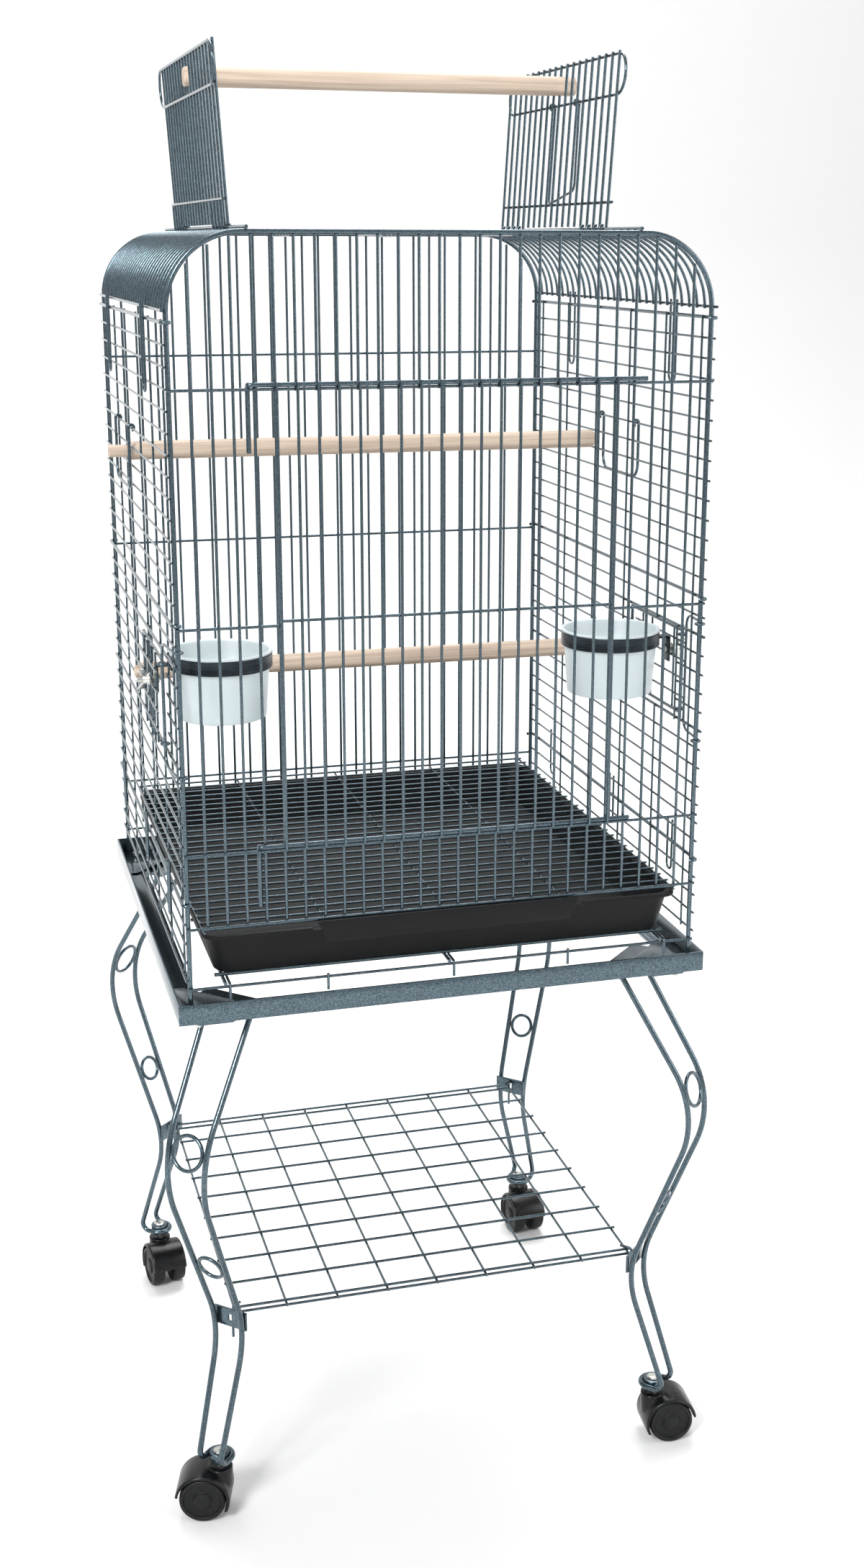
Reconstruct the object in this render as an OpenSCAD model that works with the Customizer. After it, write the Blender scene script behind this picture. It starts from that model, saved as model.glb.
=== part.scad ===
// Wire bird cage with an open play top, on a rolling stand with a wire shelf.
// The origin is on the floor below the middle of the cage. X is to the right, Y to the back, Z up.

/* [Cage] */
// Width of the cage between the middles of its corner posts
cage_w = 508; // [420:1:620]
// Depth of the cage between the middles of its corner posts
cage_d = 518; // [420:1:620]
// Height of the flat roof wires above the floor
roof_z = 1282; // [1200:1:1420]
// Bend radius of the roof's rounded shoulders
shoulder_r = 68; // [50:1:90]
// Number of wire spaces across the front
front_spaces = 27; // [21:2:33]
// Number of wire spaces from front to back across the roof
roof_spaces = 28; // [22:2:34]

/* [Wire] */
// Diameter of the corner posts and panel frames
post_d = 4.8; // [4:0.1:6]
// Diameter of the front, back and roof wires
bar_d = 2.8; // [2:0.1:3.2]
// Diameter of the thin grid wires
grid_d = 2.2; // [1.6:0.1:2.6]
// Diameter of the front door's two long hinge bars
door_bar_d = 4.4; // [3.6:0.1:4.8]

/* [Levels] */
// Height of the front panel's upper cross wire
upper_z = 1148; // [1100:1:1170]
// Height of the front panel's short side wires
middle_z = 936; // [900:1:980]
// Height of the front panel's cross wire below the door
lower_z = 722; // [700:1:780]
// Height of the front panel's bottom edge
panel_bottom_z = 650; // [640:1:690]
// Height of the base's front wire
base_wire_z = 590; // [586:1:596]

/* [Stand] */
// Height of the top edge of the stand's angle frame
stand_z = 577; // [540:1:582]
// Height of the angle frame's outer face
angle_h = 20; // [16:1:26]
// Width of the angle frame's flat inner flange
flange_w = 26; // [20:1:34]
// Wall of the angle frame
angle_t = 2; // [1.5:0.1:3]
// Gap between the corner posts' middles and the frame's outer face, sideways
frame_margin = 13; // [12:0.5:20]
// Diameter of the leg rods
rod_d = 6; // [5:0.1:7]
// Height of the wire shelf
shelf_z = 217; // [200:1:230]

/* [Casters] */
// Diameter of the caster wheels
wheel_d = 48; // [40:1:50]
// Width of each twin wheel
wheel_w = 16; // [9:0.5:17]
// Distance from the swivel axis back to the wheel axle
caster_trail = 17; // [12:0.5:20]

/* [Top] */
// Length of each top door from hinge to loop
top_door_h = 160; // [130:1:170]
// Number of roof wire spaces beside each top door
door_spaces = 18; // [14:2:20]
// Angle by which the open top doors lean outwards
top_lean = 3.5; // [0:0.5:8]
// Diameter of the wooden perches
perch_d = 19; // [16:0.5:21]

/* [Feeding] */
// Diameter of the feeding cups' rims
cup_d = 98; // [80:1:104]
// Height of the feeding cups
cup_h = 66; // [50:1:76]
// Height of the cups' rims
cup_z = 895; // [870:1:915]

/* [Tray] */
// Height of the wire grate above the tray
grate_z = 645; // [643:0.5:647]

/* [Hidden] */
$fn = 24;
weld = 0.03;              // hairline between wires that are welded where they cross
run = 0.35;               // running clearance between pieces that move past each other
hw = cage_w / 2;
hd = cage_d / 2;
pitch_x = cage_w / front_spaces;
pitch_y = cage_d / roof_spaces;
shoulder_z = roof_z - shoulder_r;

// Front and back panels: posts, upright wires behind, cross wires in front.
cross_y = hd + post_d / 2 + bar_d / 2 + weld;
upright_y = cross_y - bar_d - weld;
panel_top_z = roof_z - post_d / 2 - weld;

// Front door: its bars lie in front of the fixed uprights and its own wires in front of the bars.
door_first = round(front_spaces * 5 / 27);
door_last = front_spaces - door_first;
door_bar_y = upright_y + bar_d / 2 + 0.5 + door_bar_d / 2;
door_wire_y = door_bar_y + door_bar_d / 2 + bar_d / 2 + weld;
door_bar_lift = bar_d / 2 + door_bar_d / 2 + run;
door_bend = door_bar_d / 2 + 1;
door_pin_y = door_bar_y - 2 * door_bend;
door_pin_x = -hw + (door_first - 1) * pitch_x - bar_d / 2 - door_bar_d / 2 - 2;
door_reach = hw - (door_first - 1.6) * pitch_x;
door_pin_len = 60;

// Side panels: thick rails along Y, thin grid rails, uprights.
rail_d = 3.6;
rail_x = hw + post_d / 2 + rail_d / 2 + weld;
side_up_x = rail_x - rail_d / 2 - grid_d / 2 - weld;
side_top_z = shoulder_z - 8;
side_pitch = 19;
side_rows = 32;
near_post = hd * 0.1892;
side_posts = [-hd + 23, -hd + 113, -near_post, near_post, hd - 113, hd - 23];

// Feeder doors in the side panels, and the swinging latches on the front posts.
feeder_y0 = -hd + 59;
feeder_y1 = -hd + 193;
cup_y = hd - 102;
feeder_z0 = side_top_z - 21 * side_pitch + 2;
feeder_z1 = side_top_z - 16 * side_pitch - 2;
row_x = side_up_x + grid_d + weld;
feeder_x = row_x + 0.4 + 1.5 + run + 1.6;

// Roof.
rib_x = hw - shoulder_r;
top_hinge_x = rib_x - 4;
top_door_half = door_spaces * pitch_y / 2;
top_rail_z = roof_z + post_d / 2 + 1.6 + weld;

// Stand.
frame_x = hw + frame_margin;
frame_y = hd + frame_margin - 2.7;
stand_bottom = stand_z - angle_h;
plate_t = 2;
plate_z = stand_bottom + angle_t + weld;
post_foot_z = plate_z + plate_t + weld;
bolt_in = 21;
leg_tab_t = 3;
foot_z = 65;
frame_bolt_r = norm([frame_x - bolt_in, frame_y - bolt_in]);
foot_r = frame_bolt_r - 9.5;
leg_top_r = frame_bolt_r - 49.5;
corner_angle = atan2(frame_y - bolt_in, frame_x - bolt_in);

wheel_r = wheel_d / 2;
web_t = 9;
axle_d = 5;
wheel_gap = 0.6;
stem_d = 8;
hood_r = wheel_r + 4.5;
bush_h = 10;
boss_top = foot_z - bush_h / 2 - 6;

// Base wires, tray and grate, stacked from the front wire up.
base_y_z = base_wire_z + bar_d / 2 + 1.8 + weld;
base_rail_z = base_y_z + 3.6 + weld;
tray_bottom = base_rail_z + 1.8 + run;
grate_d = 2.4;
tray_z = grate_z - 1.5 * grate_d - run;
tray_x = hw - 13;
tray_front = -hd - 3;
tray_back = hd - 10;

silver = "#7f8a8f";
dark = "#1b1c1f";
wood = "#d9b48c";

// ---------- wire ----------

module wire_x(d, x0, x1, y, z) {
    translate([x0, y, z]) rotate([0, 90, 0]) cylinder(d = d, h = x1 - x0);
}

module wire_y(d, y0, y1, x, z) {
    translate([x, y0, z]) rotate([-90, 0, 0]) cylinder(d = d, h = y1 - y0);
}

module wire_z(d, z0, z1, x, y) {
    translate([x, y, z0]) cylinder(d = d, h = z1 - z0);
}

function unit(v) = v / norm(v);

// A straight length between two points, kept a hairline short at each end.
module straight(d, a, b) {
    u = unit(b - a);
    len = norm(b - a) - 2 * weld;
    helper = abs(u[2]) > 0.9 ? [1, 0, 0] : [0, 0, 1];
    x = unit(cross(helper, u));
    y = cross(u, x);
    p = a + u * weld;
    multmatrix([[x[0], y[0], u[0], p[0]], [x[1], y[1], u[1], p[1]], [x[2], y[2], u[2], p[2]], [0, 0, 0, 1]])
        cylinder(d = d, h = len);
}

function turn(a, b, c) = acos(min(1, max(-1, unit(b - a) * unit(c - b))));
function setback(a, b, c, r) = r * tan(turn(a, b, c) / 2);

// A round bend of radius r at corner b of the route a, b, c.
module bend(d, a, b, c, r) {
    u = unit(b - a);
    v = unit(c - b);
    angle = turn(a, b, c);
    start = b - u * setback(a, b, c, r);
    inward = unit(v - u * (u * v));
    centre = start + inward * r;
    x = -inward;
    z = cross(x, u);
    multmatrix([[x[0], u[0], z[0], centre[0]], [x[1], u[1], z[1], centre[1]],
                [x[2], u[2], z[2], centre[2]], [0, 0, 0, 1]])
        rotate_extrude(angle = angle) translate([r, 0]) circle(d = d);
}

// A wire bent along a route of corner points, with one bend radius for each inner corner.
module bent_wire(d, route, radii) {
    last = len(route) - 1;
    for (i = [1 : last - 1])
        bend(d, route[i - 1], route[i], route[i + 1], radii[i - 1]);
    for (i = [0 : last - 1]) {
        u = unit(route[i + 1] - route[i]);
        cut_a = i == 0 ? 0 : setback(route[i - 1], route[i], route[i + 1], radii[i - 1]);
        cut_b = i == last - 1 ? 0 : setback(route[i], route[i + 1], route[i + 2], radii[i]);
        if (norm(route[i + 1] - route[i]) - cut_a - cut_b > 0.5)
            straight(d, route[i] + u * cut_a, route[i + 1] - u * cut_b);
    }
}

module mirrored_x() { children(); mirror([1, 0, 0]) children(); }
module mirrored_y() { children(); mirror([0, 1, 0]) children(); }

// ---------- stand ----------

module stand_frame() {
    color(silver) difference() {
        translate([-frame_x, -frame_y, stand_bottom]) cube([2 * frame_x, 2 * frame_y, angle_h]);
        translate([-frame_x + angle_t, -frame_y + angle_t, stand_bottom + angle_t])
            cube([2 * (frame_x - angle_t), 2 * (frame_y - angle_t), angle_h]);
        translate([-frame_x + flange_w, -frame_y + flange_w, stand_bottom - 1])
            cube([2 * (frame_x - flange_w), 2 * (frame_y - flange_w), angle_h]);
        corner_each() translate([0, 0, stand_bottom - 1]) cylinder(d = 6.2, h = angle_t + 2);
    }
}

// Places a piece at the bolt of each corner plate.
module corner_each() {
    for (sx = [-1, 1], sy = [-1, 1])
        translate([sx * (frame_x - bolt_in), sy * (frame_y - bolt_in), 0]) children();
}

module corner_plate() {
    side = 84;
    difference() {
        linear_extrude(plate_t)
            polygon([[0, 0], [side, 0], [side, 12], [12, side], [0, side]]);
        translate([bolt_in - angle_t - 0.4, bolt_in - angle_t - 0.4, -1]) cylinder(d = 6.2, h = plate_t + 2);
    }
}

module corner_plates() {
    color(silver) mirrored_x() mirrored_y()
        translate([-frame_x + angle_t + 0.4, -frame_y + angle_t + 0.4, plate_z]) corner_plate();
}

module corner_bolts() {
    nut_z = stand_bottom - leg_tab_t - weld - 5;
    color("#c9ced1") corner_each() {
        translate([0, 0, plate_z + plate_t + weld]) difference() {
            cylinder(d = 11, h = 4);
            translate([0, 0, 2.2]) cylinder(d = 5.4, h = 4, $fn = 6);
        }
        translate([0, 0, nut_z - 3]) cylinder(d = 6, h = plate_z + plate_t + 1 - nut_z + 3);
        translate([0, 0, nut_z]) cylinder(d = 11.5, h = 5, $fn = 6);
    }
}

// One leg in the vertical plane through the stand's diagonal; X is outwards from the middle.
leg_corner_r = [frame_bolt_r + 41.5, frame_bolt_r - 38.5];
leg_corner_z = [405, 198];
leg_half_top = 26;
leg_half_foot = 13;
leg_bends = [10, 105, 100, 9];
leg_outer_foot = foot_r + 19;
function leg_spread(z) =
    leg_half_foot + (leg_half_top - leg_half_foot) * (z - foot_z) / (stand_bottom - foot_z);

module leg() {
    top_z = stand_bottom - leg_tab_t - 2 * weld;
    outline = norm([frame_x, frame_y]) - 5;
    for (side = [-1, 1])
        bent_wire(rod_d,
            [[leg_top_r, side * leg_half_top, top_z],
             [leg_top_r, side * leg_half_top, top_z - 9],
             [leg_corner_r[0], side * leg_spread(leg_corner_z[0]), leg_corner_z[0]],
             [leg_corner_r[1], side * leg_spread(leg_corner_z[1]), leg_corner_z[1]],
             [leg_outer_foot, side * leg_half_foot, foot_z], [foot_r, side * leg_half_foot, foot_z]],
            leg_bends);
    translate([foot_r - weld, 0, foot_z]) rotate([0, 0, 90])
        rotate_extrude(angle = 180) translate([leg_half_foot, 0]) circle(d = rod_d);
    translate([0, 0, stand_bottom - leg_tab_t - weld]) difference() {
        linear_extrude(leg_tab_t)
            polygon([[leg_top_r - 14, -34], [outline - 34, -34], [outline - 12, -12],
                     [outline - 12, 12], [outline - 34, 34], [leg_top_r - 14, 34]]);
        translate([frame_bolt_r, 0, -1]) cylinder(d = 6.2, h = leg_tab_t + 2);
    }
}

module leg_at(sx, sy) {
    angle = sx > 0 ? sy * corner_angle : 180 - sy * corner_angle;
    rotate([0, 0, angle]) children();
}

module leg_each() {
    for (sx = [-1, 1], sy = [-1, 1]) leg_at(sx, sy) children();
}

module leg_front_left() { color(silver) leg_at(-1, -1) leg(); }
module leg_front_right() { color(silver) leg_at(1, -1) leg(); }
module leg_back_left() { color(silver) leg_at(-1, 1) leg(); }
module leg_back_right() { color(silver) leg_at(1, 1) leg(); }

// Two scroll rings stand between each leg's rods, in the rods' own slope.
module leg_rings() {
    color(silver) leg_each() {
        scroll_ring(frame_bolt_r + 24.7, 423, -17, leg_spread(423));
        scroll_ring(frame_bolt_r - 5.3, 284, 21, leg_spread(284));
    }
}

module scroll_ring(r, z, lean, spread) {
    wire = 4;
    outer = spread - rod_d / 2 - 0.3;
    translate([r, 0, z]) rotate([0, 90 + lean, 0])
        rotate_extrude() translate([outer - wire / 2, 0]) circle(d = wire);
}

// Plates welded across the inner side of the legs, with a slot for the shelf's corner hooks.
bracket_r = frame_bolt_r - 34.9;
bracket_z = shelf_z - 6;
module shelf_brackets() {
    half = leg_spread(bracket_z) + 3;
    color(silver) leg_each() difference() {
        translate([bracket_r - 2.5, -half, bracket_z - 10]) cube([2.5, 2 * half, 20]);
        translate([bracket_r - 4, -2.2, bracket_z - 4]) cube([6, 4.4, 8]);
    }
}

module caster_bushes() {
    color(silver) leg_each() translate([foot_r, 0, foot_z - bush_h / 2]) difference() {
        cylinder(r = leg_half_foot - rod_d / 2 - weld, h = bush_h);
        translate([0, 0, -1]) cylinder(d = stem_d + 0.1, h = bush_h + 2);
    }
}

// Cross wires lie on the lengthwise wires, and one more runs below them at the front and the back.
shelf_spaces = [9, 8];
module shelf() {
    wire = bar_d;
    half_x = (bracket_r - 5) * cos(corner_angle) - wire - 0.07;
    half_y = (bracket_r - 5) * sin(corner_angle) - wire - 2.1;
    color(silver) {
        for (i = [0 : shelf_spaces[0]])
            wire_x(wire, -half_x - 3, half_x + 3, half_y * (2 * i / shelf_spaces[0] - 1), shelf_z);
        for (i = [0 : shelf_spaces[1]])
            wire_y(wire, -half_y - 6, half_y + 6,
                half_x * (2 * i / shelf_spaces[1] - 1), shelf_z - wire - weld);
        for (y = [-half_y, half_y])
            wire_x(wire, -half_x - 3, half_x + 3, y, shelf_z - 2 * (wire + weld));
        leg_each() bent_wire(wire,
            [[bracket_r - 18, 0, shelf_z + wire + weld], [bracket_r - 5, 0, shelf_z + wire + weld],
             [bracket_r - 5, 0, bracket_z - 24]], [3]);
    }
}

// ---------- casters ----------

// The direction in which each caster's wheels trail, for front left, front right, back left, back right.
caster_turn = [164, -5, -80, -85];
caster_sign = [[-1, -1], [1, -1], [-1, 1], [1, 1]];
function leg_dir(k) = [caster_sign[k][0] * cos(corner_angle), caster_sign[k][1] * sin(corner_angle)];

module at_caster(k) {
    translate([foot_r * leg_dir(k)[0], foot_r * leg_dir(k)[1], 0])
        rotate([0, 0, caster_turn[k]]) children();
}

// A moulded hood: a middle web that holds the axle, and a round cover over both wheels.
module caster_hood(k) {
    width = web_t + 2 * (wheel_w + wheel_gap);
    color(dark) at_caster(k) difference() {
        union() {
            translate([caster_trail, width / 2, wheel_r]) rotate([90, 0, 0]) cylinder(r = hood_r, h = width);
            translate([0, 0, wheel_r + 6]) cylinder(r = 13, h = boss_top - wheel_r - 6);
        }
        for (side = [-1, 1])
            translate([caster_trail, side * (web_t / 2 + 20), wheel_r]) rotate([90, 0, 0])
                cylinder(r = wheel_r + 1.6, h = 40, center = true);
        translate([caster_trail - 60, -40, -40]) cube([120, 80, 40 + wheel_r * 0.5]);
        translate([caster_trail + 2, -40, -10]) cube([80, 80, wheel_r + 14]);
        translate([caster_trail, 40, wheel_r]) rotate([90, 0, 0]) cylinder(d = axle_d + 0.1, h = 80);
        translate([0, 0, wheel_r + 20]) cylinder(d = stem_d + 0.1, h = 60);
    }
}

// The swivel stem stands in the hood and turns in the leg's bush under a riveted cap.
module caster_stem(k) {
    low = wheel_r + 20.05;
    color("#c9ced1") at_caster(k) {
        translate([0, 0, low]) cylinder(d = stem_d, h = foot_z + bush_h / 2 + run + 1 - low);
        translate([0, 0, foot_z + bush_h / 2 + run]) cylinder(d = 13, h = 2);
    }
}

// Two wheels pressed on one steel axle.
module caster_wheels(k) {
    color("#101114") at_caster(k) translate([caster_trail, 0, wheel_r]) rotate([90, 0, 0]) {
        for (side = [-1, 1])
            translate([0, 0, side * (web_t / 2 + wheel_gap + wheel_w / 2)]) wheel();
        cylinder(d = axle_d, h = web_t + 2 * wheel_gap + 4, center = true);
    }
}

module wheel() {
    rotate_extrude() polygon([[axle_d / 2 + weld, -wheel_w / 2], [wheel_r - 1.5, -wheel_w / 2],
        [wheel_r, -wheel_w / 2 + 1.5], [wheel_r, wheel_w / 2 - 1.5], [wheel_r - 1.5, wheel_w / 2],
        [axle_d / 2 + weld, wheel_w / 2]]);
}

module caster_hood_fl() { caster_hood(0); }
module caster_hood_fr() { caster_hood(1); }
module caster_hood_bl() { caster_hood(2); }
module caster_hood_br() { caster_hood(3); }
module caster_stem_fl() { caster_stem(0); }
module caster_stem_fr() { caster_stem(1); }
module caster_stem_bl() { caster_stem(2); }
module caster_stem_br() { caster_stem(3); }
module caster_wheels_fl() { caster_wheels(0); }
module caster_wheels_fr() { caster_wheels(1); }
module caster_wheels_bl() { caster_wheels(2); }
module caster_wheels_br() { caster_wheels(3); }

// ---------- tray and grate ----------

// Wires under the tray: three run front to back and hook down over the front wire.
module base_frame() {
    hook_y = hd + post_d / 2 + 2 * bar_d + 2 * weld;
    color(silver) {
        wire_x(bar_d, -hw - post_d / 2, hw + post_d / 2, -hd - post_d / 2 - bar_d / 2 - weld, base_wire_z);
        for (x = [-tray_x + 20, 0, tray_x - 20]) {
            wire_y(3.6, -hook_y + 3, hd + 4, x, base_y_z);
            bent_wire(bar_d, [[x + 4, -hook_y + 22, base_y_z], [x + 4, -hook_y + bar_d / 2, base_y_z],
                              [x + 4, -hook_y + bar_d / 2, stand_z + 1]], [2.5]);
        }
        for (x = [-hw * 0.48, hw * 0.48])
            wire_z(bar_d, stand_z + 1, base_wire_z + 4, x, -hook_y + bar_d / 2);
        for (y = [-hd + 12, -hd * 0.35, hd * 0.35, hd - 12])
            wire_x(3.6, -tray_x + 12, tray_x - 12, y, base_rail_z);
    }
}

// A block with sloping sides, between two heights.
module sloped_block(x0, x1, front0, front1, back0, back1, z0, z1) {
    intersection() {
        translate([0, 400, 0]) rotate([90, 0, 0]) linear_extrude(800)
            polygon([[-x0, z0], [x0, z0], [x1, z1], [-x1, z1]]);
        translate([-400, 0, 0]) rotate([90, 0, 90]) linear_extrude(800)
            polygon([[front0, z0], [back0, z0], [back1, z1], [front1, z1]]);
    }
}

module tray() {
    wall = 2.5;
    lip = 6;
    in_x = tray_x - lip;
    front = tray_front + 8;
    color(dark) difference() {
        union() {
            sloped_block(in_x - 10, in_x, front + 8, front, tray_back - lip - 8, tray_back - lip,
                tray_bottom, tray_z);
            translate([-tray_x, tray_front, tray_z - wall]) cube([2 * tray_x, tray_back - tray_front, wall]);
            translate([-140, tray_front - 7, tray_z - wall]) cube([280, 12, wall]);
            translate([0, tray_front - 4.5, 0]) rotate([90, 0, 0]) linear_extrude(wall)
                polygon([[-140, tray_z - wall], [-122, tray_z - 14], [122, tray_z - 14], [140, tray_z - wall],
                         [132, tray_z + 8], [-132, tray_z + 8]]);
        }
        sloped_block(in_x - 10 - wall, in_x - wall, front + 8 + wall, front + wall,
            tray_back - lip - 8 - wall, tray_back - lip - wall, tray_bottom + wall, tray_z + 1);
    }
}

// The grate lies on the tray's rim.
module grate() {
    rows = roof_spaces - 2;
    step = (2 * hd - 12) / rows;
    color(silver) {
        for (i = [0 : rows])
            wire_x(grate_d, -tray_x + 1, tray_x - 1, -hd + 6 + i * step, grate_z);
        for (x = [-tray_x + 3, -tray_x / 2, 0, tray_x / 2, tray_x - 3])
            wire_y(grate_d, -hd + 4, hd - 4, x, grate_z - grate_d - weld);
    }
}

// ---------- panels ----------

// Height just below the rounded shoulder's frame wire at a distance x from the middle.
function below_frame(x) = abs(x) < rib_x ? panel_top_z
    : shoulder_z + sqrt(pow(shoulder_r - post_d / 2 - 0.3, 2) - pow(abs(x) - rib_x + bar_d / 2, 2));

// The corner posts and the roof line of the front or back panel, bent from one wire.
module panel_frame() {
    bent_wire(post_d, [[-hw, 0, post_foot_z], [-hw, 0, roof_z], [hw, 0, roof_z], [hw, 0, post_foot_z]],
        [shoulder_r, shoulder_r]);
}

module cross_wire(z) {
    wire_x(bar_d, -hw - post_d / 2, hw + post_d / 2, -cross_y, z);
}

module front_panel() {
    edge = bar_d / 2 + 0.6;
    color(silver) {
        translate([0, -hd, 0]) panel_frame();
        for (i = [1 : front_spaces - 1]) {
            x = -hw + i * pitch_x;
            if (i <= door_first || i >= door_last) {
                wire_z(bar_d, panel_bottom_z - edge, below_frame(x), x, -upright_y);
            } else {
                wire_z(bar_d, panel_bottom_z - edge, lower_z + edge, x, -upright_y);
                wire_z(bar_d, upper_z - edge, below_frame(x), x, -upright_y);
            }
        }
        for (z = [panel_bottom_z, lower_z, upper_z]) cross_wire(z);
        for (sx = [0, 1]) mirror([sx, 0, 0])
            wire_x(bar_d, -hw - post_d / 2, -hw + door_first * pitch_x + edge, -cross_y, middle_z);
    }
}

module back_panel() {
    color(silver) mirror([0, 1, 0]) {
        translate([0, -hd, 0]) panel_frame();
        for (i = [1 : front_spaces - 1]) {
            x = -hw + i * pitch_x;
            wire_z(bar_d, base_wire_z + 9, below_frame(x), x, -upright_y);
        }
        for (z = [base_wire_z, panel_bottom_z, middle_z, upper_z]) cross_wire(z);
    }
}

rail_rows = [0, 14, 28];
cut_rows = [17, 18, 19, 20];
heavy_rows = [16, 21];
function row_z(k) = side_top_z - k * side_pitch;

// The right side panel; the left one is its mirror image.
module side_panel() {
    reach = hd + post_d / 2;
    hook_r = post_d / 2 + rail_d / 2 + weld;
    bottom = row_z(side_rows) - 2;
    edge = grid_d / 2 + 0.6;
    for (k = rail_rows) {
        wire_y(rail_d, -hd + weld, hd - weld, hw + hook_r, row_z(k));
        for (sy = [0, 1]) mirror([0, sy, 0]) translate([hw, hd, row_z(k)])
            rotate_extrude(angle = 130) translate([hook_r, 0]) circle(d = rail_d);
    }
    for (k = [1 : side_rows]) {
        if (len(search(k, rail_rows)) == 0) {
            if (len(search(k, cut_rows)) > 0) {
                wire_y(grid_d, -reach, feeder_y0 + edge, row_x, row_z(k));
                wire_y(grid_d, feeder_y1 - edge, reach, row_x, row_z(k));
            } else {
                wire_y(len(search(k, heavy_rows)) > 0 ? 3 : grid_d, -reach, reach,
                    len(search(k, heavy_rows)) > 0 ? row_x + 0.4 : row_x, row_z(k));
            }
        }
    }
    for (y = side_posts) {
        if (y > feeder_y0 && y < feeder_y1) {
            wire_z(grid_d, bottom, row_z(21) + edge, side_up_x, y);
            wire_z(grid_d, row_z(16) - edge, side_top_z + 2, side_up_x, y);
        } else {
            wire_z(grid_d, bottom, side_top_z + 2, side_up_x, y);
        }
    }
    for (y = [feeder_y0, feeder_y1])
        wire_z(grid_d, row_z(21) - edge, row_z(16) + edge, side_up_x, y);
    for (z = [row_z(16) - 9, row_z(21) + 9])
        hinge_eye(feeder_x, feeder_y0, z, 3.2, 2.9);
}

// A wire eye round an upright pin.
module hinge_eye(x, y, z, pin, wire) {
    translate([x, y, z]) rotate_extrude() translate([pin / 2 + run + wire / 2, 0]) circle(d = wire);
}

module right_panel() { color(silver) side_panel(); }
module left_panel() { color(silver) mirror([1, 0, 0]) side_panel(); }

// ---------- roof ----------

rib_r = shoulder_r + post_d / 2 - bar_d / 2;
rib_z = shoulder_z + rib_r;
opening_first = (roof_spaces - door_spaces) / 2;
opening_last = roof_spaces - opening_first;

// Rounded ribs from the side's cross wire up to the roof, and on to the edge of the roof opening.
module right_ribs() {
    wire_y(bar_d, -hd - 4, hd + 4, hw + post_d / 2 + bar_d / 2 + weld, shoulder_z + 2);
    for (j = [1 : roof_spaces - 1]) {
        y = -hd + j * pitch_y;
        translate([rib_x, y, shoulder_z]) rotate([90, 0, 0])
            rotate_extrude(angle = 90) translate([rib_r, 0]) circle(d = bar_d);
        if (j > opening_first && j < opening_last)
            wire_x(bar_d, top_hinge_x - 5, rib_x - weld, y, rib_z);
    }
}

module right_shoulder() { color(silver) right_ribs(); }
module left_shoulder() { color(silver) mirror([1, 0, 0]) right_ribs(); }

module roof() {
    border = hd - opening_first * pitch_y;
    color(silver) {
        for (j = [1 : opening_first], sy = [0, 1]) mirror([0, sy, 0])
            wire_x(bar_d, -rib_x + weld, rib_x - weld, -hd + j * pitch_y, rib_z);
        for (x = [-top_hinge_x, top_hinge_x])
            wire_y(3.2, -hd - 2, hd + 2, x, top_rail_z);
        for (x = [-60, 60], sy = [0, 1]) mirror([0, sy, 0])
            wire_y(bar_d, border - 2, hd - post_d / 2 - 0.2, x, rib_z - bar_d - weld);
    }
}

// ---------- front door ----------

module front_door() {
    color(silver) {
        for (i = [door_first : door_last])
            wire_z(bar_d, lower_z + door_bar_lift - 2.2, upper_z + door_bar_lift + 2.2,
                -hw + i * pitch_x, -door_wire_y);
        for (end = [[upper_z, door_reach], [lower_z, door_reach - 7]]) {
            z = end[0] + door_bar_lift;
            bent_wire(door_bar_d,
                [[end[1], -door_bar_y, z], [door_pin_x, -door_bar_y, z],
                 [door_pin_x, -door_pin_y, z], [door_pin_x, -door_pin_y, z - door_pin_len]],
                [door_bend, door_bend]);
        }
        wire_x(bar_d, -hw + door_first * pitch_x, -hw + door_last * pitch_x,
            -door_wire_y + bar_d + weld, middle_z + 4.5);
    }
}

// ---------- play top ----------

loop_gap = 37;
loop_over = 12;

module lean_right() {
    translate([top_hinge_x, 0, top_rail_z]) rotate([0, top_lean, 0]) children();
}

// The right top door, hanging on the roof's long wire.
module top_door() {
    face = bar_d + weld;
    loop_r = loop_gap / 2;
    loop_y = top_door_half + loop_over - loop_r;
    lean_right() {
        for (m = [0 : door_spaces])
            wire_z(bar_d, 2.6, top_door_h + 1.8, 0, -top_door_half + m * pitch_y);
        wire_y(bar_d, -top_door_half - 2, top_door_half + 2, face, 25);
        for (z = [top_door_h, top_door_h - loop_gap])
            wire_y(bar_d, -loop_y + weld, loop_y - weld, face, z);
        for (sy = [0, 1]) mirror([0, sy, 0]) {
            translate([face, loop_y, top_door_h - loop_r])
                rotate([0, 90, 0]) rotate_extrude(angle = 180)
                    translate([loop_r, 0]) circle(d = bar_d);
            for (m = [5.5, 6.5, 7.5, 8.5])
                top_hinge_leg(m * pitch_y, 25 - bar_d / 2 - weld);
        }
    }
}

// A leg that curls round the roof wire.
module top_hinge_leg(y, top) {
    eye = 1.6 + run + bar_d / 2;
    wire_z(bar_d, weld, top, eye, y);
    translate([0, y, 0]) rotate([-90, 0, 0])
        rotate_extrude(angle = 275) translate([eye, 0]) circle(d = bar_d);
}

module top_door_right() { color(silver) top_door(); }
module top_door_left() { color(silver) mirror([1, 0, 0]) top_door(); }

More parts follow.
